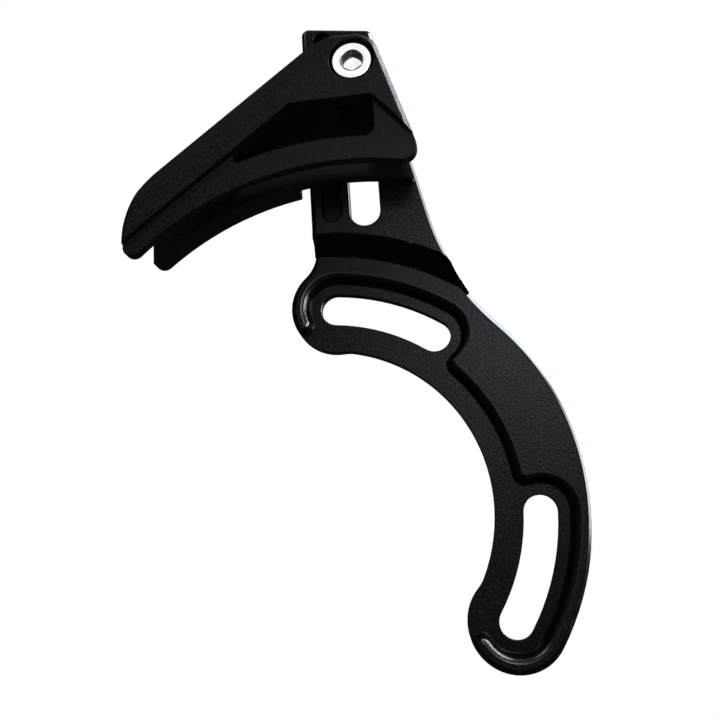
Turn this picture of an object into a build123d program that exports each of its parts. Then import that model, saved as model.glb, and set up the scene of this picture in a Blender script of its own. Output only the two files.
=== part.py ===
from build123d import *
import math
import os

# A bicycle chain guide: a machined plate that bolts round the crank axis, and a moulded
# guide in two halves that one screw clamps to the plate's tower at a chosen height.
# Each piece is drawn flat, with X towards the front of the bicycle, Y up, Z outboard from
# the mounting face and the crank axis at the origin, and is stood upright when written.
# Lengths are in millimetres and angles in degrees.

# Mounting ring
mount_slot_radius = 44.0
mount_slot_width = 7.0
mount_slot_span = 29.2
upper_slot_angle = 69.1
lower_slot_angle = -18.5
ring_inner_width = 9.3
ring_outer_width = 9.8
lobe_bulge = 0.5
edge_chamfer = 0.9

# Recess round the mounting slots
floor_thickness = 2.5
recess_depth = 2.6
recess_draft = 22.0
recess_margin = 2.5
recess_band = 4.7
recess_tip_band = 3.6
recess_corner = 1.4

# Conical riser from the ring to the tower
riser_setback = 1.6
riser_height = 4.7
riser_run = 3.6

# Tower
tower_thickness = 4.0
tower_overhang = 3.63
tower_head = 9.75
tower_top_width = 16.0
tower_top_fall = 9.0
tower_lean = 11.8
tower_corner = 1.6
tower_root_radius = 50.0
lobe_root_radius = 8.0

# Clamp slot and blind key groove in the tower, with the screw's travel down and up from rest
clamp_height = 90.3
slide_drop = 27.2
slide_rise = 10.1
clamp_slot_inset = 11.9
clamp_slot_width = 6.6
groove_inset = 4.65
groove_width = 4.2
groove_depth = 2.2
groove_foot = 0.5
groove_head = 5.4

# Clamp screw and nut
screw_diameter = 5.0
screw_length = 16.0
head_diameter = 8.5
head_height = 5.0
head_chamfer = 0.5
hex_size = 4.0
hex_depth = 2.5
hex_turn = 30.0
head_sink = 0.6
nut_width = 10.0
nut_height = 8.0
nut_thickness = 3.0
nut_chamfer = 0.6

# Clearances
slide_gap = 0.15
key_gap = 0.2
screw_gap = 0.15
slot_gap = 0.15
thread_gap = 0.05
head_gap = 0.45
roof_gap = 0.1
wing_land_gap = 0.45
wing_tower_gap = 2.2

# Guide thicknesses, going outboard
inner_wall = 2.5
channel_width = 8.7
outer_wall = 2.4
upper_bar_rise = 1.6

# Guide outline, measured from the screw axis
guide_rear = 49.6
guide_top = 6.4
boss_reach = 4.4
front_lean = 16.0
rake = 36.5
rake_offset = 9.35
tip_radius = 19.0
brow_radius = 12.0
boss_radius = 5.5
toe_radius = 2.2
toe_share = 0.36
heel_radius = 3.0
arc_x = -4.85
arc_drop = 21.7
arc_radius = 63.1

# Bars, window and bevels of the outer half
lower_bar_width = 5.2
upper_bar_width = 8.1
window_top = 8.5
window_front = 3.55
window_tip = 2.2
window_corner = 0.8
window_heel = 2.2
brace_corner = 1.5
brace_fall = 50.0
bevel_width = 2.3
bevel_turn = 1.0
bevel_slope = 33.0
front_bevel = 1.0
hub_radius = 6.0

# Roof of the chain channel
roof_thickness = 2.8
roof_length = 38.0
roof_start = 7.8

# Inner half
inner_lift = 1.25
inner_arc_shift = 0.6
inner_rear_trim = 0.8
inner_front_trim = 1.8
inner_tip_radius = 9.0
inner_heel_radius = 0.8
key_low = 2.7
key_high = 4.3
wing_wall = 2.2
wing_rib = 1.6
wing_rib_pitch = 11.0

# Ring and tower, from the sizes above
ring_inner_radius = mount_slot_radius - ring_inner_width
ring_outer_radius = mount_slot_radius + ring_outer_width
lobe_radius = ring_inner_width + lobe_bulge
clamp_slot_low = clamp_height - slide_drop
clamp_slot_high = clamp_height + slide_rise
groove_low = clamp_slot_low + groove_foot
groove_high = clamp_slot_high + groove_head
tower_height = clamp_slot_high + tower_head
upper_slot_end = math.radians(upper_slot_angle + mount_slot_span / 2)
tower_left = mount_slot_radius * math.cos(upper_slot_end) - tower_overhang
clamp_slot_x = tower_left + clamp_slot_inset
groove_x = tower_left + groove_inset

# The screw bears towards the front side of its slot
clamp_x = clamp_slot_x + (clamp_slot_width - screw_diameter) / 2 - slot_gap

# Levels above the mounting face
land_level = floor_thickness + recess_depth
tower_front = land_level + riser_height
tower_back = tower_front - tower_thickness
inner_back = tower_front + slide_gap
inner_front = inner_back + inner_wall
outer_back = inner_front + channel_width
bar_front = outer_back + outer_wall
guide_front_face = bar_front + upper_bar_rise
head_top = guide_front_face - head_sink
head_seat = head_top - head_height
nut_front = tower_back - slide_gap
wing_back = land_level + wing_land_gap

# Centre of the guide's lower arc, and directions of its raked top edge
arc_y = -arc_drop - arc_radius
rake_along = Vector(math.cos(math.radians(rake)), math.sin(math.radians(rake)))
rake_out = Vector(-rake_along.Y, rake_along.X)


def polar(radius, angle):
    return Vector(radius * math.cos(math.radians(angle)), radius * math.sin(math.radians(angle)))


def slab(face, low, high):
    return extrude(Pos(0, 0, low) * face, amount=high - low)


def top_chamfer(solid, length):
    return chamfer(solid.faces().sort_by(Axis.Z)[-1].edges(), length)


def mount_slot(angle, width):
    start = angle - mount_slot_span / 2
    return SlotArc(CenterArc((0, 0), mount_slot_radius, start, mount_slot_span), width)


def tower_slot(x, low, high, width):
    return Pos(x, (low + high) / 2) * SlotCenterToCenter(high - low, width, rotation=90)


def ring_face():
    start = lower_slot_angle - mount_slot_span / 2
    end = upper_slot_angle + mount_slot_span / 2
    outer = CenterArc((0, 0), ring_outer_radius, start, end - start)
    inner = CenterArc((0, 0), ring_inner_radius, start, end - start)
    face = make_face([outer, Line(outer @ 1, inner @ 1), inner, Line(inner @ 0, outer @ 0)])
    for angle in (start, end):
        face += Pos(polar(mount_slot_radius, angle)) * Circle(lobe_radius)
    kinks = [v for v in face.vertices() if abs(Vector(v).length - ring_inner_radius) < 0.001]
    return fillet(kinks, lobe_root_radius)


def tower_face():
    top_left = Vector(tower_left, tower_height)
    top_fall = tower_top_width * math.tan(math.radians(tower_top_fall))
    top_right = top_left + Vector(tower_top_width, -top_fall)

    # Front edge: a straight line, then an arc that runs tangent into the ring's rim
    down = polar(1, tower_lean - 90)
    out = polar(1, tower_lean)
    start = top_right + out * tower_root_radius
    reach = ring_outer_radius + tower_root_radius
    fall = start.dot(down)
    run = -fall - math.sqrt(fall**2 - start.dot(start) + reach**2)
    root = start + down * run
    root_top = root - out * tower_root_radius
    root_end = root * (ring_outer_radius / reach)
    root_mid = root - (out + root.normalized()).normalized() * tower_root_radius

    # Rear edge: upright, then an arc that runs tangent into the upper slot's lobe
    lobe = polar(mount_slot_radius, upper_slot_angle + mount_slot_span / 2)
    side = tower_left - lobe_root_radius - lobe.X
    rise = math.sqrt((lobe_radius + lobe_root_radius)**2 - side**2)
    heel = lobe + Vector(side, rise)
    heel_out = (lobe - heel).normalized()
    heel_top = heel + Vector(lobe_root_radius, 0)
    heel_end = heel + heel_out * lobe_root_radius
    heel_mid = heel + (Vector(1, 0) + heel_out).normalized() * lobe_root_radius

    face = make_face([
        Line(heel_top, top_left),
        Line(top_left, top_right),
        Line(top_right, root_top),
        ThreePointArc(root_top, root_mid, root_end),
        Line(root_end, lobe),
        Line(lobe, heel_end),
        ThreePointArc(heel_end, heel_mid, heel_top),
    ])
    return fillet(face.vertices().sort_by(Axis.Y)[-2:], tower_corner)


def recess():
    run = recess_depth * math.tan(math.radians(recess_draft))
    band_radius = ring_inner_radius + recess_band + run
    tip_radius = ring_inner_radius + recess_tip_band + run

    # A narrow band at the ring's two tips, a wider one between the slots, and room round each slot
    band = CenterArc((0, 0), band_radius, lower_slot_angle, upper_slot_angle - lower_slot_angle)
    face = Rot(0, 0, 180) * Circle(tip_radius)
    face += make_face([band, Line(band @ 1, (0, 0)), Line((0, 0), band @ 0)])
    for angle in (upper_slot_angle, lower_slot_angle):
        face += mount_slot(angle, mount_slot_width + 2 * (recess_margin + run))
    reaches = [(v, Vector(v).length) for v in face.vertices() if v.X > -lobe_radius]
    corners = [v for v, r in reaches if min(abs(r - band_radius), abs(r - tip_radius)) < 0.001]
    pocket = slab(fillet(corners, recess_corner), floor_thickness, land_level + recess_depth)
    base = pocket.faces().sort_by(Axis.Z)[0]
    return chamfer(base.edges(), run, recess_depth, reference=base)


def mounting_plate():
    riser_foot = ring_outer_radius + riser_setback
    riser_top = riser_foot + riser_run
    slope = riser_run / riser_height
    back_offset = tower_thickness * math.hypot(riser_run, riser_height) / riser_height
    back_foot = riser_foot + back_offset - land_level * slope
    back_top = back_foot + tower_back * slope
    rim = 2 * tower_height
    section = Polyline(
        (0, 0, 0), (back_foot, 0, 0), (back_top, 0, tower_back), (rim, 0, tower_back),
        (rim, 0, tower_front), (riser_top, 0, tower_front), (riser_foot, 0, land_level), (0, 0, land_level),
        close=True)
    dish = revolve(make_face(section), Axis.Z)
    core = slab(Circle(riser_foot), 0, tower_front)
    outline = ring_face() + tower_face()
    ring = top_chamfer(slab(outline, 0, land_level), edge_chamfer) & core
    tower = (top_chamfer(slab(outline, 0, tower_front), edge_chamfer) & dish) - core
    plate = ring + tower
    plate -= recess()
    for angle in (upper_slot_angle, lower_slot_angle):
        plate -= slab(mount_slot(angle, mount_slot_width), 0, land_level)
    plate -= slab(tower_slot(clamp_slot_x, clamp_slot_low, clamp_slot_high, clamp_slot_width), 0, tower_front)
    groove = tower_slot(groove_x, groove_low, groove_high, groove_width)
    plate -= slab(groove, tower_front - groove_depth, tower_front)
    return plate


def guide_face(lift, shift, rear, tip_round, front_trim, heel_round):
    tip_y = (rake_offset + rear * rake_out.X) / rake_out.Y
    brow_x = (rake_offset - guide_top * rake_out.Y) / rake_out.X
    boss_x = boss_reach - front_trim
    front_x = boss_x + (guide_top - arc_y) * math.tan(math.radians(front_lean))
    outline = FilletPolyline(
        (-rear, tip_y), (brow_x, guide_top), (boss_x, guide_top), (front_x, arc_y), (-rear, arc_y),
        radius=[tip_round, brow_radius, boss_radius, 0, 0], close=True)
    centre = Vector(arc_x - shift, arc_y)
    radius = arc_radius + lift
    face = make_face(outline) - Pos(centre) * Circle(radius)
    ends = [v for v in face.vertices() if abs((Vector(v) - centre).length - radius) < 0.001]
    toe, heel = sorted(ends, key=lambda v: v.X)
    rear_edge = face.edges().filter_by(Axis.Y).sort_by(Axis.X)[0]
    face = fillet(toe, min(toe_radius, toe_share * rear_edge.length))
    heel = face.vertices().sort_by_distance(Vector(heel))[0]
    return fillet(heel, heel_round)


def roof_strip(thickness):
    strip = Rectangle(roof_length, thickness, align=(Align.MAX, Align.MAX))
    edge = rake_out * rake_offset - rake_along * roof_start
    return Pos(edge) * Rot(0, 0, rake) * strip


def under_upper_bar(rear):
    # Everything below the upper bar: its raked edge, the window's top and the brace at the front
    bar = rake_offset - upper_bar_width
    rear_y = (bar + rear * rake_out.X) / rake_out.Y
    corner_x = (bar + window_top * rake_out.Y) / rake_out.X
    brace = polar(guide_rear, -brace_fall)
    front_x = window_front + brace.X
    return make_face(Polyline(
        (-rear, rear_y), (corner_x, -window_top), (window_front, -window_top),
        (front_x, brace.Y - window_top), (front_x, arc_y), (-rear, arc_y), close=True))


def window_face():
    centre = Vector(arc_x, arc_y)
    radius = arc_radius + lower_bar_width
    slope = math.tan(math.radians(rake))
    base = (rake_offset - upper_bar_width) / rake_out.Y - window_tip - arc_y
    half = base * slope - arc_x
    rest = (1 + slope**2) * (arc_x**2 + base**2 - radius**2)
    window_rear = (half - math.sqrt(half**2 - rest)) / (1 + slope**2)
    frame = under_upper_bar(window_rear)
    frame &= Pos(window_front, 0) * Rectangle(4 * guide_rear, 4 * guide_rear, align=(Align.MAX, Align.CENTER))
    face = frame - Pos(centre) * Circle(radius)
    heel = [v for v in face.vertices() if v.X > 0 and abs((Vector(v) - centre).length - radius) < 0.001]
    face = fillet(heel, window_heel)
    sharp = [v for v in face.vertices() if (Vector(v) - Vector(heel[0])).length > 2 * window_heel]
    return fillet(sharp, window_corner)


def outer_guide():
    outline = guide_face(0, 0, guide_rear, tip_radius, 0, heel_radius)
    window = window_face()
    body = slab(outline, outer_back, bar_front)
    raised = top_chamfer(slab(outline, bar_front, guide_front_face), front_bevel)
    below = under_upper_bar(2 * guide_rear)
    corner = below.vertices().sort_by_distance((window_front, -window_top))[0]
    body += raised - slab(fillet(corner, brace_corner), bar_front, guide_front_face)
    body -= slab(window, outer_back, guide_front_face)
    body += slab(outline & roof_strip(roof_thickness), inner_back, outer_back)
    body += slab(Circle(hub_radius), inner_front, outer_back)

    # Broad bevel along the raked top edge, narrowing towards the tip
    along = polar(1, rake - bevel_turn)
    across = polar(1, rake - bevel_turn + 90)
    start = rake_out * (rake_offset - bevel_width) - along * (2 * guide_rear)
    section = Plane(origin=start + Vector(0, 0, guide_front_face), x_dir=across, z_dir=along)
    reach = 2 * bevel_width
    fall = reach * math.tan(math.radians(bevel_slope))
    wedge = make_face(Polyline((-reach, fall), (reach, fall), (reach, -fall), close=True))
    body -= extrude(section * wedge, amount=4 * guide_rear)
    body -= slab(Circle(screw_diameter / 2 + screw_gap), inner_front, head_seat)
    body -= slab(Circle(head_diameter / 2 + head_gap), head_seat, guide_front_face)
    return Pos(clamp_x, clamp_height) * body


def inner_guide():
    rear = guide_rear - inner_rear_trim
    outline = guide_face(
        inner_lift, inner_arc_shift, rear, inner_tip_radius, inner_front_trim, inner_heel_radius)
    outline -= roof_strip(roof_thickness + roof_gap)
    body = slab(outline, inner_back, inner_front)

    # Wing beside the tower, cored from behind between ribs
    wing_front = tower_left - wing_tower_gap - clamp_x
    beside = Pos(wing_front, 0) * Rectangle(4 * guide_rear, 8 * guide_rear, align=(Align.MAX, Align.CENTER))
    wing = outline & beside
    body += slab(wing, wing_back, inner_back)
    core = offset(wing, -wing_wall)
    rib = Rectangle(wing_rib, 4 * guide_rear)
    count = math.floor((rear + wing_front) / wing_rib_pitch)
    for i in range(count):
        core -= Pos(wing_front - wing_wall - (i + 1) * wing_rib_pitch, 0) * rib
    body -= slab(core, wing_back, inner_back)

    # Key that slides in the tower's groove, and the screw's hole
    key_width = groove_width - 2 * key_gap
    key = Pos(groove_x - clamp_x, (key_high - key_low) / 2) * Rectangle(key_width, key_high + key_low)
    body += slab(key, tower_front - groove_depth + key_gap, inner_back)
    body -= slab(Circle(screw_diameter / 2 + screw_gap), inner_back, inner_front)
    return Pos(clamp_x, clamp_height) * body


def clamp_screw():
    head = slab(Circle(head_diameter / 2), head_seat, head_top)
    head = chamfer(head.edges().group_by(Axis.Z)[-1], head_chamfer)
    socket = RegularPolygon(hex_size / 2, 6, major_radius=False, rotation=hex_turn)
    head -= slab(socket, head_top - hex_depth, head_top)
    shank = slab(Circle(screw_diameter / 2), head_seat - screw_length, head_seat)
    return Pos(clamp_x, clamp_height) * (head + shank)


def clamp_nut():
    nut = slab(Rectangle(nut_width, nut_height), nut_front - nut_thickness, nut_front)
    nut = chamfer(nut.edges().group_by(Axis.Z)[0], nut_chamfer)
    nut -= slab(Circle(screw_diameter / 2 + thread_gap), nut_front - nut_thickness, nut_front)
    return Pos(clamp_x, clamp_height) * nut


os.makedirs("parts", exist_ok=True)
for build in (mounting_plate, inner_guide, outer_guide, clamp_screw, clamp_nut):
    export_step(Plane.XZ * build(), f"parts/{build.__name__}.step")
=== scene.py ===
import math

import bmesh
import bpy
from mathutils import Matrix, Vector
from mathutils.geometry import intersect_point_line


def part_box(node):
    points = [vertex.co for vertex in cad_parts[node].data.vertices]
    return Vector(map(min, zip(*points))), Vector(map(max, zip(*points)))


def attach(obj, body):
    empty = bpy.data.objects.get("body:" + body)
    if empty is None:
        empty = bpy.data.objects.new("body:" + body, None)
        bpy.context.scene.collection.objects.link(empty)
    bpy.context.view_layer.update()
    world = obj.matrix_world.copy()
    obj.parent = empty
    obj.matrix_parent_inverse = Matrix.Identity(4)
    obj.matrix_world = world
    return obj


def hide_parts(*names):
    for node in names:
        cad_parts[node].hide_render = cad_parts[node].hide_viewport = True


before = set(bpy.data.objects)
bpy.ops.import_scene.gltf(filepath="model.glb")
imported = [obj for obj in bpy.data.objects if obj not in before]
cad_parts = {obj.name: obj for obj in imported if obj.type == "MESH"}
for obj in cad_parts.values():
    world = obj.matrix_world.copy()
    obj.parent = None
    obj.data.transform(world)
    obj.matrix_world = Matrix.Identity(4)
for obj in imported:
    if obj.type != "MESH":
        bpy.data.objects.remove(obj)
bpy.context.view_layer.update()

# Lengths are written in millimetres and turned to metres where they are used
MM = 0.001

# Softened edges: their widths and steps
PLATE_EDGE = 0.3
MOULDED_EDGE = 0.28
NUT_EDGE = 0.18
EDGE_STEPS = 4

# Angles between two faces that are joined as flat, rounded as sharp, shaded as crisp, or called a fold
FLAT_ANGLE = 0.2
SHARP_ANGLE = 24.0
CRISP_ANGLE = 32.0
FOLD_ANGLE = 75.0

# How meshes are merged, cut and split, and how far a fold keeps edges crisp
MERGE_DISTANCE = 0.002
CUT_SLACK = 0.0001
EDGE_PIECE = 3.0
FOLD_REACH = 0.6
KEPT_REACH = 1.2
SOFTEN_TRIES = 4
FLAT_FACE_WEIGHT = 90

# Heights over the mounting face, and how far from the crank axis the riser starts
FRONT_LOW = 2.0
RECESS_LOW = 2.4
SLOT_TOP = 2.7
RECESS_HIGH = 4.2
RECESS_TOP = 5.3
RISER_REACH = 54.5

# How far a face of the plate is turned to the front: from 0 for an upright wall to 1 for a flat
UPRIGHT_WALL = (-0.01, 0.05)
DRAFTED_WALL = (0.25, 0.45)
RISER_CONE = (0.5, 0.66)
FLAT_BESIDE_EDGE = 0.98
FLAT_BLASTED = 0.985

# Finishes of the plate, in slot order; RISER is a duller copy of the same anodise that paints shade on
# riser and cove, RIM a glossier copy that paints a highlight on the rim
BLASTED, CHAMFER, MILLED, RISER, RIM = range(5)

# Roundings of cove, rim and slots: width, steps, whether hollow, kind of wall, highest place, finish
RECESS_ROUNDINGS = [
    (0.35, 6, True, DRAFTED_WALL, RECESS_TOP, RISER),
    (0.75, 6, False, DRAFTED_WALL, RECESS_TOP, RIM),
    (0.1, 2, False, UPRIGHT_WALL, SLOT_TOP, BLASTED)]

# How much of a rounding is left out at its open ends
RECESS_END = 1.0

# A corner of the plate too tight to round, where riser, tower and side meet
CRISP_CORNER = [(2.1, -9.6, 58.8), (2.6, -9.4, 58.6), (1.6, -9.2, 58.5)]

# Toe of the inner guide's wing: its end, its front, and the round between them in plan
TOE_END = -35.05
TOE_FRONT = -12.45
TOE_ROUND = 6.2
TOE_STEPS = 9

# Outer guide's raked edge: its slope, its place from the screw, and its bevel's depth and slope
RAKE = 36.5
RAKE_PLACE = 9.35
RAKE_DEPTH = 1.5
RAKE_SLOPE = 25.5

# Clamp screw, along its axis from the top of the head
HEAD_RADIUS = 4.25
HEAD_HEIGHT = 5.0
HEAD_ROUND = 0.35
HEAD_ROUND_STEPS = 6
SCREW_LENGTH = 16.0
SHANK_RADIUS = 2.5
TIP_CHAMFER = 0.5
HEX_SIDE = 60.0
HEX_FLATS = 4.0
HEX_DEPTH = 1.6
HEX_TURN = 30.0
MOUTH_RADIUS = 2.5
MOUTH_SLOPE = 20.0
DRILL_RADIUS = 1.7
DRILL_SLOPE = 8.0
DRILL_DROP = DRILL_RADIUS * math.tan(math.radians(DRILL_SLOPE))
DRILL_SHARES = (0.35, 0.7, 1.0)
TURN_STEPS = 96

# Small breaks on the screw's edges: foot and mouth of the socket, face and foot of the head, the finest
SOCKET_FOOT = 0.1
MOUTH_BREAK = 0.03
FACE_BREAK = 0.05
HEAD_FOOT = 0.15
FINE_BREAK = 0.02

# Thread of the screw, and the radii between which the shank is found
THREAD_PITCH = 0.8
THREAD_DEPTH = 0.46
THREAD_START = 7.0
THREAD_FADE = 0.8
RINGS_PER_PITCH = 8
SHANK_LEAST = SHANK_RADIUS - 0.1
SHANK_MOST = SHANK_RADIUS + 0.01
LEAST_REACH = 0.001

# Camera, solved from the plate's arcs in the photograph
CAMERA_PLACE = (27.27, -179.84, -12.44)
CAMERA_RIGHT = (0.9911, 0.1172, -0.0639)
CAMERA_UP = (0.0900, -0.2328, 0.9683)
CAMERA_BACK = (0.0986, -0.9654, -0.2413)
CAMERA_NEAREST = 5.0
LENS = 42.5
SENSOR = 36.0

# Floor, and the even light from all round
FLOOR_HEIGHT = -160.0
FLOOR_HALF = 1500.0
FLOOR_BACK = 600.0
FLOOR_SHADE = 0.85
FLOOR_TOOTH = 0.01
AMBIENT = 0.85

# What gloss sees: a grey room, lighter up in front and up behind; ways, spreads and shades
ROOM_FRONT = (0.35, -0.60, 0.72)
ROOM_FRONT_SPREAD = (0.3, 0.9)
ROOM_DARK_SHADE = 0.012
ROOM_FRONT_SHADE = 0.3
ROOM_BACK = (0.25, 0.66, 0.71)
ROOM_BACK_SPREAD = (0.65, 1.0)
ROOM_BACK_SHADE = 0.28

# Aims and colours of the lamps, and the pieces that some of them light alone
MIDDLE_OF_PART = (10.0, -10.0, 45.0)
MIDDLE_OF_PLATE = (0.0, 0.0, 30.0)
EDGE_OF_RING = (45.0, -5.0, 25.0)
TOP_LEFT = (-260.0, -130.0, 420.0)
WHITE = (1.0, 1.0, 1.0)
COOL = (0.82, 0.91, 1.0)
COOL_RIM = (0.84, 0.92, 1.0)
COOL_LOW = (0.86, 0.93, 1.0)
WARM = (1.0, 0.86, 0.7)
AMBER = (1.0, 0.5, 0.2)
PLATE_ALONE = ("mounting_plate_anodised",)
GUIDE_ALONE = ("outer_guide_moulded",)
SCREW_ALONE = ("clamp_screw_bright",)
PLATE_AND_GUIDE = PLATE_ALONE + GUIDE_ALONE
SCREW_AND_NUT = SCREW_ALONE + ("clamp_nut_plated",)

# Lamps: name, place, aim, size, watts, colour, spread, and the pieces lit, where it isn't everything
LAMPS = [
    ("key_front_right", (136.0, -565.0, 213.0), MIDDLE_OF_PART,
     (140.0, 140.0), 0.055, COOL, 40.0, None),
    ("side_right_upper", (303.0, 41.0, 327.0), EDGE_OF_RING,
     (320.0, 229.0), 0.73, COOL, 60.0, PLATE_AND_GUIDE),
    ("side_right_lower", (441.0, -30.0, 75.0), EDGE_OF_RING,
     (200.0, 270.0), 0.85, COOL_LOW, 60.0, PLATE_ALONE),
    ("rim_right", (317.0, 230.0, 132.0), MIDDLE_OF_PLATE,
     (362.0, 410.0), 2.4, COOL_RIM, 60.0, PLATE_ALONE),
    ("top_left_warm", TOP_LEFT, MIDDLE_OF_PART,
     (220.0, 220.0), 0.12, WARM, 60.0, PLATE_ALONE),
    ("top_left_guide", TOP_LEFT, MIDDLE_OF_PART,
     (220.0, 220.0), 0.008, AMBER, 60.0, GUIDE_ALONE)]

# White panels that the bright fastening mirrors: name, way from the screw's head, size, watts, pieces
PANELS = [
    ("back_panel", Vector((0.0, 430.0, -95.0)), (520.0, 280.0), 0.3, SCREW_AND_NUT),
    ("screw_panel", Vector((-0.107, -0.817, 0.567)) * 400.0, (420.0, 420.0), 0.46, SCREW_ALONE)]
PANEL_SPREAD = 180.0

# Where most of a noise's values lie, and the sockets of a Mix node that are for colours
MOST_NOISE = (0.35, 0.65)
MIX_FIRST, MIX_SECOND, MIX_RESULT = 6, 7, 2


class Wire:
    """One output of a node, which Python arithmetic turns into Math nodes."""

    def __init__(self, sheet, socket):
        self.sheet = sheet
        self.socket = socket

    def beside(self, name):
        """Another output of the same node."""
        return Wire(self.sheet, self.socket.node.outputs[name])

    def __add__(self, other):
        return self.sheet.maths("ADD", self, other)

    def __radd__(self, other):
        return self.sheet.maths("ADD", other, self)

    def __sub__(self, other):
        return self.sheet.maths("SUBTRACT", self, other)

    def __rsub__(self, other):
        return self.sheet.maths("SUBTRACT", other, self)

    def __mul__(self, other):
        return self.sheet.maths("MULTIPLY", self, other)

    def __rmul__(self, other):
        return self.sheet.maths("MULTIPLY", other, self)

    def __truediv__(self, other):
        return self.sheet.maths("DIVIDE", self, other)

    def __rtruediv__(self, other):
        return self.sheet.maths("DIVIDE", other, self)


class Sheet:
    """A node tree whose nodes all come from one method."""

    def __init__(self, tree):
        self.tree = tree

    def node(self, kind, settings=None, sockets=None, output=0):
        """Makes a node: its settings, then values or links on its sockets. Gives one output, if any."""
        made = self.tree.nodes.new(kind)
        for name, value in (settings or {}).items():
            setattr(made, name, value)
        for name, value in (sockets or {}).items():
            if isinstance(value, Wire):
                self.tree.links.new(value.socket, made.inputs[name])
            else:
                made.inputs[name].default_value = value
        return Wire(self, made.outputs[output]) if made.outputs else None

    def maths(self, operation, first, second=0.0):
        return self.node("ShaderNodeMath", {"operation": operation}, {0: first, 1: second})

    def stretch(self, value, low, high, new_low=0.0, new_high=1.0):
        ends = {"Value": value, "From Min": low, "From Max": high, "To Min": new_low, "To Max": new_high}
        return self.node("ShaderNodeMapRange", {"clamp": True}, ends)


class Finish(Sheet):
    """The node tree of one material or of the world."""

    def __init__(self, owner):
        self.owner = owner
        owner.use_nodes = True
        super().__init__(owner.node_tree)
        self.tree.nodes.clear()

    def noise(self, place, grain, detail, rough):
        scale = 1.0 / (grain * MM)
        return self.node("ShaderNodeTexNoise", None,
                         {"Vector": place, "Scale": scale, "Detail": detail, "Roughness": rough})

    def scaled(self, place, scale):
        return self.node("ShaderNodeMapping", None, {"Vector": place, "Scale": scale})

    def tint(self, factor, first, second):
        ends = {"Factor": factor, MIX_FIRST: first, MIX_SECOND: second}
        return self.node("ShaderNodeMix", {"data_type": "RGBA"}, ends, MIX_RESULT)

    def bump(self, height, strength, depth):
        sockets = {"Height": height, "Strength": strength, "Distance": depth * MM}
        return self.node("ShaderNodeBump", None, sockets)

    def skin(self, colour, rough, normal, more):
        sockets = {"Base Color": colour, "Roughness": rough, "Normal": normal, **more}
        return self.surface(self.node("ShaderNodeBsdfPrincipled", None, sockets))

    def surface(self, shader, target="ShaderNodeOutputMaterial"):
        self.node(target, None, {"Surface": shader})
        return self.owner


def new_finish(name):
    """A new material's node tree, and the place on the piece."""
    f = Finish(bpy.data.materials.new(name))
    return f, f.node("ShaderNodeTexCoord", output="Object")


def grey(value, blue=0.0):
    return (value * (1.0 - blue), value, value * (1.0 + blue), 1.0)


def blasted_anodise():
    """Bead-blasted flats under black anodising: fine pits, light flecks that are partly the blast's
    grain and partly painted glints, and a soft gloss.
    """
    f, place = new_finish("black_anodise_blasted")
    fine = f.noise(place, grain=0.2, detail=2.0, rough=0.6)
    coarse = f.noise(place, grain=0.42, detail=2.0, rough=0.55)
    cloud = f.stretch(f.noise(place, grain=14.0, detail=2.0, rough=0.5), *MOST_NOISE)
    # Light flecks in the base colour: partly the blast's grain, partly painted glints
    grain_and_glint = f.stretch(f.noise(place, grain=0.38, detail=1.0, rough=0.5), low=0.5, high=0.7)
    colour = f.tint(grain_and_glint, grey(0.0016), grey(0.007, blue=0.12))
    colour = f.tint(cloud * 0.3, colour, grey(0.002, blue=0.05))
    rough = 0.24 + coarse * 0.14
    normal = f.bump(coarse * 0.7 + fine * 0.3, strength=0.75, depth=0.085)
    return f.skin(colour, rough, normal, {"Specular IOR Level": 0.12})


def machined_anodise(name, gloss, rub, satin=0.17):
    """Machined faces under the same anodising: smoother, with cutter lines and rubbed patches."""
    f, place = new_finish(name)
    lines = f.noise(f.scaled(place, (1.0, 0.06, 1.0)), grain=0.3, detail=2.0, rough=0.5)
    fine = f.noise(place, grain=0.2, detail=2.0, rough=0.6)
    patch = f.stretch(f.noise(place, grain=2.2, detail=3.0, rough=0.6), low=0.52, high=0.72)
    worn = patch * f.stretch(fine, low=0.42, high=0.62)
    colour = f.tint(worn * rub, grey(0.001), grey(0.014, blue=0.05))
    rough = f.stretch(lines, low=0.3, high=0.7, new_low=satin, new_high=satin + 0.06)
    normal = f.bump(lines * 0.6 + fine * 0.4, strength=0.1, depth=0.004)
    return f.skin(colour, rough, normal, {"Specular IOR Level": gloss})


def moulded_nylon():
    """Black moulded nylon with a fine spark-eroded grain and slow flow marks."""
    f, place = new_finish("black_nylon_moulded")
    grain = f.noise(place, grain=0.2, detail=3.0, rough=0.6)
    pores = f.noise(place, grain=0.5, detail=2.0, rough=0.5)
    flow = f.noise(f.scaled(place, (0.5, 1.0, 1.4)), grain=9.0, detail=3.0, rough=0.5)
    speck = f.stretch(grain * 0.3 + pores * 0.7, low=0.42, high=0.62)
    colour = f.tint(speck, grey(0.001), grey(0.007, blue=0.06))
    rough = 0.36 + speck * 0.12 + f.stretch(flow, *MOST_NOISE) * 0.06
    normal = f.bump(grain * 0.4 + pores * 0.6, strength=0.9, depth=0.08)
    return f.skin(colour, rough, normal, {"Specular IOR Level": 0.145})


def bright_nickel():
    """Nickel plate over turned steel: bright, slightly cloudy, with faint handling marks."""
    f, place = new_finish("bright_nickel")
    cloud = f.noise(place, grain=1.6, detail=3.0, rough=0.6)
    fine = f.noise(place, grain=0.12, detail=2.0, rough=0.5)
    colour = f.tint(f.stretch(cloud, *MOST_NOISE), (0.80, 0.79, 0.77, 1.0), (0.90, 0.89, 0.87, 1.0))
    rough = 0.1 + f.stretch(fine * 0.5 + cloud * 0.5, *MOST_NOISE) * 0.08
    normal = f.bump(cloud, strength=0.05, depth=0.01)
    return f.skin(colour, rough, normal, {"Metallic": 1.0})


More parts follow.
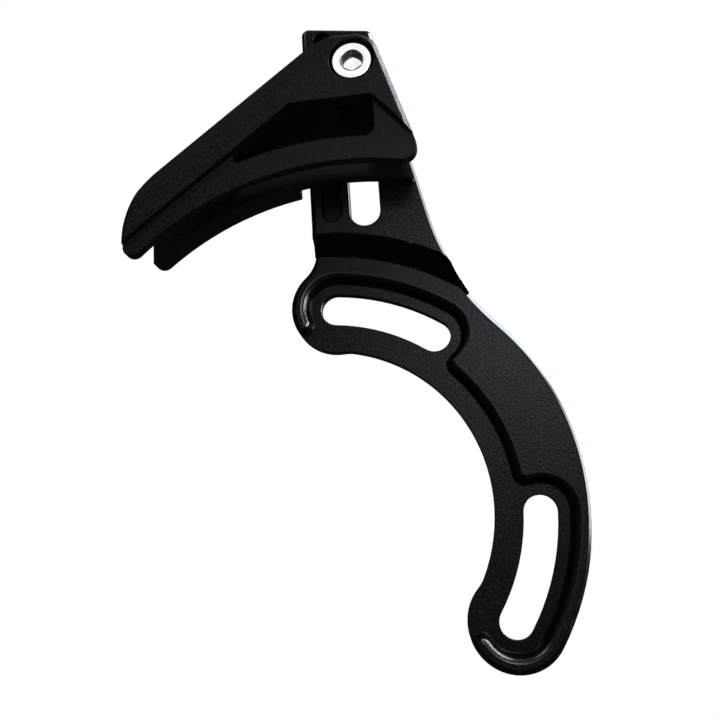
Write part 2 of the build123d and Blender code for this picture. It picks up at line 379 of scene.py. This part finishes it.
def pale_floor():
    """Plain matt floor paper with a barely visible tooth."""
    f, place = new_finish("pale_floor")
    tooth = f.stretch(f.noise(place, grain=2.5, detail=3.0, rough=0.6), low=0.3, high=0.7)
    colour = f.tint(tooth, grey(FLOOR_SHADE - FLOOR_TOOTH), grey(FLOOR_SHADE + FLOOR_TOOTH))
    return f.surface(f.node("ShaderNodeBsdfDiffuse", None, {"Color": colour}))


def studio_world():
    """White to the eye, the grey room in gloss, and even soft light on everything."""
    f = Finish(bpy.data.worlds.new("studio"))
    path = f.node("ShaderNodeLightPath")
    eye = path.beside("Is Camera Ray")
    mirrored = f.maths("MAXIMUM", path.beside("Is Glossy Ray"), path.beside("Is Transmission Ray"))
    way = f.node("ShaderNodeTexCoord", output="Generated")
    front, back = [
        f.node("ShaderNodeVectorMath", {"operation": "DOT_PRODUCT"}, {0: way, 1: side}, "Value")
        for side in (ROOM_FRONT, ROOM_BACK)]
    room = (f.stretch(front, *ROOM_FRONT_SPREAD, ROOM_DARK_SHADE, ROOM_FRONT_SHADE)
            + f.stretch(back, *ROOM_BACK_SPREAD, 0.0, ROOM_BACK_SHADE))
    seen = eye + (1 - eye) * (mirrored * room + (1 - mirrored) * AMBIENT)
    shade = f.tint(seen, grey(0.0), grey(1.0))
    glow = f.node("ShaderNodeBackground", None, {"Color": shade, "Strength": 1.0})
    return f.surface(glow, "ShaderNodeOutputWorld")


def copied_shape(node):
    """A merged copy of a CAD node's mesh, with its flat areas joined into single faces."""
    shape = bmesh.new()
    shape.from_mesh(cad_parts[node].data)
    bmesh.ops.remove_doubles(shape, verts=shape.verts, dist=MERGE_DISTANCE * MM)
    bmesh.ops.dissolve_limit(shape, angle_limit=math.radians(FLAT_ANGLE),
                             verts=shape.verts, edges=shape.edges)
    return shape


def sharp_edges(shape, angle):
    limit = math.radians(angle)
    return [e for e in shape.edges if len(e.link_faces) == 2 and e.calc_face_angle(0.0) > limit]


def middle(edge):
    return (edge.verts[0].co + edge.verts[1].co) / 2.0


def near(edge, spots, reach):
    """Whether an edge passes within reach of one of the spots."""
    a, b = edge.verts[0].co, edge.verts[1].co
    for spot in spots:
        share = intersect_point_line(spot, a, b)[1]
        if (a.lerp(b, min(max(share, 0.0), 1.0)) - spot).length < reach * MM:
            return True
    return False


def round_edges(shape, edges, width, steps):
    made = bmesh.ops.bevel(shape, geom=edges, offset=width * MM, offset_type="OFFSET", segments=steps,
                           profile=0.5, affect="EDGES", clamp_overlap=False)
    return made["faces"]


def split_long(edges):
    """Splits long edges, so that a tight spot at one end keeps only that end crisp."""
    waiting = list(edges)
    while waiting:
        edge = waiting.pop()
        if edge.calc_length() > EDGE_PIECE * MM:
            made = bmesh.utils.edge_split(edge, edge.verts[0], 0.5)[0]
            waiting += [edge, made]


def round_loose(shape, width, tight):
    """Rounds every sharp edge that isn't near a tight spot."""
    loose = [e for e in sharp_edges(shape, SHARP_ANGLE) if not near(e, tight, FOLD_REACH)]
    round_edges(shape, loose, width, EDGE_STEPS)


def soften(shape, width, crisp=()):
    """Rounds every sharp edge by width, apart from tight spots where a rounding would fold over."""
    split_long(sharp_edges(shape, SHARP_ANGLE))
    tight = [Vector(spot) * MM for spot in crisp]
    for _ in range(SOFTEN_TRIES):
        trial = shape.copy()
        kept = [middle(e) for e in sharp_edges(trial, SHARP_ANGLE) if near(e, tight, FOLD_REACH)]
        round_loose(trial, width, tight)
        folds = [middle(e) for e in sharp_edges(trial, FOLD_ANGLE) if not near(e, kept, KEPT_REACH)]
        tight += folds
        trial.free()
        if not folds:
            break
    round_loose(shape, width, tight)


def chain_without_ends(edges):
    """Leaves out the edges near the open ends of a chain, where a rounding would run out of the side."""
    met = [v for edge in edges for v in edge.verts]
    ends = [v.co.copy() for v in set(met) if met.count(v) == 1]
    return [e for e in edges if not near(e, ends, RECESS_END)]


def shape_recess(shape):
    """Rounds the recess: a cove at its drafted wall's foot, a rim at the top, a break on the slots."""
    for width, steps, hollow, (steep, leaning), top, finish in RECESS_ROUNDINGS:
        chosen = []
        for edge in sharp_edges(shape, SHARP_ANGLE):
            spot = middle(edge) / MM
            wall, flat = sorted(abs(face.normal.y) for face in edge.link_faces)
            inside = FRONT_LOW < -spot.y < top and math.hypot(spot.x, spot.z) < RISER_REACH
            if inside and steep < wall < leaning and flat > FLAT_BESIDE_EDGE:
                if (edge.calc_face_angle_signed(0.0) < 0.0) == hollow:
                    chosen.append(edge)
        # The faces that come back include those of earlier roundings, which keep their finish
        for face in round_edges(shape, chain_without_ends(chosen), width, steps):
            if face.material_index == BLASTED:
                face.material_index = finish


def cut_flat(shape, spot, way):
    """Cuts off what lies beyond a plane and closes the cut with a flat face."""
    everything = shape.verts[:] + shape.edges[:] + shape.faces[:]
    cut = bmesh.ops.bisect_plane(shape, geom=everything, dist=CUT_SLACK * MM,
                                 plane_co=spot, plane_no=way, clear_outer=True)
    rim = [part for part in cut["geom_cut"] if isinstance(part, bmesh.types.BMEdge)]
    bmesh.ops.edgeloop_fill(shape, edges=rim)


def round_toe(shape):
    """Rounds the front of the wing's toe in plan, slice by slice."""
    centre = Vector((TOE_END + TOE_ROUND, TOE_FRONT + TOE_ROUND, 0.0)) * MM
    for i in range(TOE_STEPS):
        turn = math.radians(90.0 * (i + 0.5) / TOE_STEPS)
        way = Vector((-math.cos(turn), -math.sin(turn), 0.0))
        cut_flat(shape, centre + way * TOE_ROUND * MM, way)
    bmesh.ops.recalc_face_normals(shape, faces=shape.faces)


def widen_bevel(shape):
    """Cuts the wide bevel along the outer guide's raked upper edge."""
    axis_x, axis_z, _ = screw_axis()
    rake, slope = math.radians(RAKE), math.radians(RAKE_SLOPE)
    out = Vector((-math.sin(rake), 0.0, math.cos(rake)))
    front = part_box("outer_guide")[0].y
    edge = Vector((axis_x, front + RAKE_DEPTH * MM, axis_z)) + out * RAKE_PLACE * MM
    cut_flat(shape, edge, out * math.sin(slope) + Vector((0.0, -math.cos(slope), 0.0)))
    bmesh.ops.recalc_face_normals(shape, faces=shape.faces)


def settle(piece):
    """Applies a piece's modifiers, so that it is a plain mesh."""
    reading = bpy.context.evaluated_depsgraph_get()
    plain = bpy.data.meshes.new_from_object(piece.evaluated_get(reading), depsgraph=reading)
    piece.modifiers.clear()
    old = piece.data
    piece.data = plain
    plain.name = piece.name
    bpy.data.meshes.remove(old)


def finished_piece(name, shape, finishes, choose=None):
    """Turns a bmesh into a shaded piece at the origin; choose gives each face its finish."""
    for face in shape.faces:
        face.smooth = True
        face.material_index = choose(face) if choose else 0
    for edge in sharp_edges(shape, CRISP_ANGLE):
        edge.smooth = False
    mesh = bpy.data.meshes.new(name)
    shape.to_mesh(mesh)
    shape.free()
    for finish in finishes:
        mesh.materials.append(finish)
    piece = bpy.data.objects.new(name, mesh)
    bpy.context.scene.collection.objects.link(piece)
    weigh = piece.modifiers.new("flat_faces_stay_flat", "WEIGHTED_NORMAL")
    weigh.mode = "FACE_AREA"
    weigh.weight = FLAT_FACE_WEIGHT
    weigh.keep_sharp = True
    settle(piece)
    return piece


def hold(piece, body, node):
    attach(piece, body)
    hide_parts(node)


def plate_finish(face):
    """Cove and rim keep their finish; flats, riser, chamfers and milled walls go by slope and place."""
    if face.material_index in (RISER, RIM):
        return face.material_index
    square = abs(face.normal.y)
    place = face.calc_center_median() / MM
    steepest, flattest = RISER_CONE
    if square > FLAT_BLASTED:
        return BLASTED
    if steepest < square < flattest and math.hypot(place.x, place.z) > RISER_REACH:
        return RISER
    if square > flattest and not RECESS_LOW < -place.y < RECESS_HIGH:
        return CHAMFER
    return MILLED


def screw_axis():
    low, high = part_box("clamp_screw")
    return (low.x + high.x) / 2.0, (low.z + high.z) / 2.0, low.y


def hexagon_reach(angle):
    """How far the hex socket's wall is from the screw's axis in one direction."""
    side = math.radians(HEX_SIDE)
    turn = (angle - math.radians(HEX_TURN)) % side - side / 2.0
    return HEX_FLATS / 2.0 / math.cos(turn)


def screw_section(angle):
    """Points (reach, depth under the head's top) at one angle, from the socket's floor to the tip."""
    wall = hexagon_reach(angle)
    mouth = (MOUTH_RADIUS - wall) * math.tan(math.radians(MOUTH_SLOPE))
    points = [(DRILL_RADIUS * share, HEX_DEPTH + DRILL_DROP * (1.0 - share)) for share in DRILL_SHARES]
    points += [
        (wall - SOCKET_FOOT, HEX_DEPTH),
        (wall, HEX_DEPTH - SOCKET_FOOT),
        (wall, mouth + MOUTH_BREAK),
        (wall + MOUTH_BREAK, mouth),
        (MOUTH_RADIUS - FINE_BREAK, FINE_BREAK),
        (MOUTH_RADIUS + MOUTH_BREAK, 0.0),
        (HEAD_RADIUS - HEAD_ROUND - FACE_BREAK, 0.0)]
    for i in range(HEAD_ROUND_STEPS + 1):
        turn = math.radians(90.0 * i / HEAD_ROUND_STEPS)
        out = HEAD_RADIUS - HEAD_ROUND * (1.0 - math.sin(turn))
        points.append((out, HEAD_ROUND * (1.0 - math.cos(turn))))
    points += [
        (HEAD_RADIUS, HEAD_HEIGHT - HEAD_FOOT),
        (HEAD_RADIUS - FACE_BREAK, HEAD_HEIGHT - FACE_BREAK),
        (HEAD_RADIUS - HEAD_FOOT, HEAD_HEIGHT),
        (SHANK_RADIUS + FINE_BREAK, HEAD_HEIGHT)]
    length = SCREW_LENGTH - TIP_CHAMFER
    steps = int(length / (THREAD_PITCH / RINGS_PER_PITCH))
    for i in range(steps + 1):
        points.append((SHANK_RADIUS, HEAD_HEIGHT + FINE_BREAK + i * (length - FINE_BREAK) / steps))
    points.append((SHANK_RADIUS - TIP_CHAMFER, HEAD_HEIGHT + SCREW_LENGTH))
    return points


def turned_shape(section, axis_x, axis_z, top, start_depth, end_depth):
    """Closed solid round an axis along y, from a section that varies by angle, pointed at both ends."""
    shape = bmesh.new()
    angles = [2.0 * math.pi * i / TURN_STEPS for i in range(TURN_STEPS)]
    loops = []
    for ring in zip(*[section(angle) for angle in angles]):
        loop = []
        for angle, (reach, depth) in zip(angles, ring):
            loop.append(shape.verts.new((axis_x + reach * MM * math.cos(angle), top + depth * MM,
                                         axis_z + reach * MM * math.sin(angle))))
        loops.append(loop)
    first = shape.verts.new((axis_x, top + start_depth * MM, axis_z))
    last = shape.verts.new((axis_x, top + end_depth * MM, axis_z))
    for i in range(TURN_STEPS):
        j = (i + 1) % TURN_STEPS
        shape.faces.new((first, loops[0][i], loops[0][j]))
        shape.faces.new((last, loops[-1][j], loops[-1][i]))
        for upper, lower in zip(loops, loops[1:]):
            shape.faces.new((upper[i], lower[i], lower[j], upper[j]))
    bmesh.ops.recalc_face_normals(shape, faces=shape.faces)
    return shape


class Pressing(Sheet):
    """A Geometry Nodes tree whose inputs have names, set on the modifier by identifier."""

    def __init__(self, name, inputs):
        super().__init__(bpy.data.node_groups.new(name, "GeometryNodeTree"))
        sockets = self.tree.interface
        for label, kind in [("Geometry", "NodeSocketGeometry")] + inputs:
            sockets.new_socket(label, in_out="INPUT", socket_type=kind)
        sockets.new_socket("Geometry", in_out="OUTPUT", socket_type="NodeSocketGeometry")
        self.inputs = self.node("NodeGroupInput")

    def given(self, label):
        return self.inputs.beside(label)

    def close(self, geometry):
        whole = self.node("GeometryNodeRealizeInstances", None, {"Geometry": geometry})
        dressed = self.node("GeometryNodeSetMaterial", None,
                            {"Geometry": whole, "Material": self.given("Material")})
        self.node("NodeGroupOutput", None, {0: dressed})
        return self.tree


def rolled_thread():
    """Presses a helical thread into a shank that runs along y: a V groove that fades in at its start."""
    lengths = ("Axis X", "Axis Z", "Start", "Fade", "Pitch", "Depth", "Least Radius", "Most Radius")
    inputs = [(label, "NodeSocketFloat") for label in lengths] + [("Material", "NodeSocketMaterial")]
    p = Pressing("rolled_thread", inputs)
    axis_x, axis_z, start, fade, pitch, depth, least, most = [p.given(label) for label in lengths]
    place = p.node("ShaderNodeSeparateXYZ", None, {0: p.node("GeometryNodeInputPosition")})
    out_x = place.beside("X") - axis_x
    out_z = place.beside("Z") - axis_z
    along = place.beside("Y") - start
    reach = p.maths("SQRT", out_x * out_x + out_z * out_z)
    turn = p.maths("ARCTAN2", out_z, out_x) / (2.0 * math.pi)
    groove = p.maths("PINGPONG", along / pitch + turn, 0.5) * 2.0
    shank = p.maths("GREATER_THAN", reach, least) * p.maths("LESS_THAN", reach, most)
    press = groove * (p.stretch(along, 0.0, fade) * shank)
    back = press * depth / p.maths("MAXIMUM", reach, LEAST_REACH * MM) * -1.0
    shift = p.node("ShaderNodeCombineXYZ", None, {"X": out_x * back, "Z": out_z * back})
    moved = {"Geometry": p.given("Geometry"), "Offset": shift}
    return p.close(p.node("GeometryNodeSetPosition", None, moved))


def press_thread(piece, values):
    """Gives a piece the thread with these named inputs, then makes it a plain mesh."""
    rolled = piece.modifiers.new("rolled_thread", "NODES")
    rolled.node_group = rolled_thread()
    for item in rolled.node_group.interface.items_tree:
        if item.item_type == "SOCKET" and item.in_out == "INPUT" and item.name in values:
            rolled[item.identifier] = values[item.name]
    settle(piece)


def clamp_screw(nickel):
    axis_x, axis_z, top = screw_axis()
    shape = turned_shape(screw_section, axis_x, axis_z, top,
                         HEX_DEPTH + DRILL_DROP, HEAD_HEIGHT + SCREW_LENGTH)
    piece = finished_piece("clamp_screw_bright", shape, [nickel])
    press_thread(piece, {
        "Axis X": axis_x, "Axis Z": axis_z, "Start": top + THREAD_START * MM, "Fade": THREAD_FADE * MM,
        "Pitch": THREAD_PITCH * MM, "Depth": THREAD_DEPTH * MM, "Least Radius": SHANK_LEAST * MM,
        "Most Radius": SHANK_MOST * MM, "Material": nickel})
    return piece


def build_pieces():
    blasted = blasted_anodise()
    chamfer = machined_anodise("black_anodise_chamfer", gloss=0.15, rub=1.0)
    milled = machined_anodise("black_anodise_milled", gloss=0.15, rub=0.3)
    # A duller copy of the same anodise: its lower gloss paints shade on the riser and the cove
    riser = machined_anodise("black_anodise_riser_shaded", gloss=0.1, rub=0.15)
    # A glossier copy of the same anodise: its higher gloss paints a bright highlight streak along the
    # rim
    rim = machined_anodise("black_anodise_rim_highlight", gloss=0.45, rub=0.3, satin=0.26)
    nylon = moulded_nylon()
    nickel = bright_nickel()

    shape = copied_shape("mounting_plate")
    shape_recess(shape)
    soften(shape, PLATE_EDGE, CRISP_CORNER)
    finishes = [blasted, chamfer, milled, riser, rim]
    piece = finished_piece("mounting_plate_anodised", shape, finishes, plate_finish)
    hold(piece, "plate", "mounting_plate")

    for node in ("inner_guide", "outer_guide"):
        shape = copied_shape(node)
        if node == "inner_guide":
            round_toe(shape)
        else:
            widen_bevel(shape)
        soften(shape, MOULDED_EDGE)
        piece = finished_piece(node + "_moulded", shape, [nylon])
        hold(piece, "guide", node)

    piece = clamp_screw(nickel)
    hold(piece, "guide", "clamp_screw")

    shape = copied_shape("clamp_nut")
    soften(shape, NUT_EDGE)
    piece = finished_piece("clamp_nut_plated", shape, [nickel])
    hold(piece, "guide", "clamp_nut")


def stage_sheet(name, corners, finish):
    mesh = bpy.data.meshes.new(name)
    mesh.from_pydata([Vector(c) * MM for c in corners], [], [(0, 1, 2, 3)])
    mesh.materials.append(finish)
    sheet = bpy.data.objects.new(name, mesh)
    bpy.context.scene.collection.objects.link(sheet)
    sheet.visible_glossy = False


def lamp(name, place, aim, size, power, colour, spread, pieces):
    """A lamp that lights everything, or only the pieces that are named."""
    light = bpy.data.lights.new(name, "AREA")
    light.shape = "RECTANGLE"
    light.size, light.size_y = size[0] * MM, size[1] * MM
    light.energy = power
    light.color = colour
    light.spread = math.radians(spread)
    held = bpy.data.objects.new(name, light)
    held.location = Vector(place) * MM
    held.rotation_euler = (Vector(aim) - Vector(place)).to_track_quat("-Z", "Y").to_euler()
    bpy.context.scene.collection.objects.link(held)
    if pieces is not None:
        group = bpy.data.collections.new("lit_by_" + name)
        for piece in pieces:
            group.objects.link(bpy.data.objects[piece])
        held.light_linking.receiver_collection = group


def build_stage():
    wide, low, back = FLOOR_HALF, FLOOR_HEIGHT, FLOOR_BACK
    corners = [(-wide, -wide, low), (wide, -wide, low), (wide, back, low), (-wide, back, low)]
    stage_sheet("floor", corners, pale_floor())
    for values in LAMPS:
        lamp(*values)
    axis_x, axis_z, top = screw_axis()
    head = Vector((axis_x, top, axis_z)) / MM
    for name, way, size, power, pieces in PANELS:
        lamp(name, head + way, head, size, power, WHITE, PANEL_SPREAD, pieces)
    bpy.context.scene.world = studio_world()


def build_camera():
    lens = bpy.data.cameras.new("camera")
    lens.lens = LENS
    lens.sensor_width = SENSOR
    lens.clip_start = CAMERA_NEAREST * MM
    eye = bpy.data.objects.new("camera", lens)
    turn = Matrix((CAMERA_RIGHT, CAMERA_UP, CAMERA_BACK)).transposed().to_4x4()
    eye.matrix_world = Matrix.Translation(Vector(CAMERA_PLACE) * MM) @ turn
    bpy.context.scene.collection.objects.link(eye)
    bpy.context.scene.camera = eye


build_pieces()
build_stage()
build_camera()
bpy.context.scene.view_settings.view_transform = "Standard"
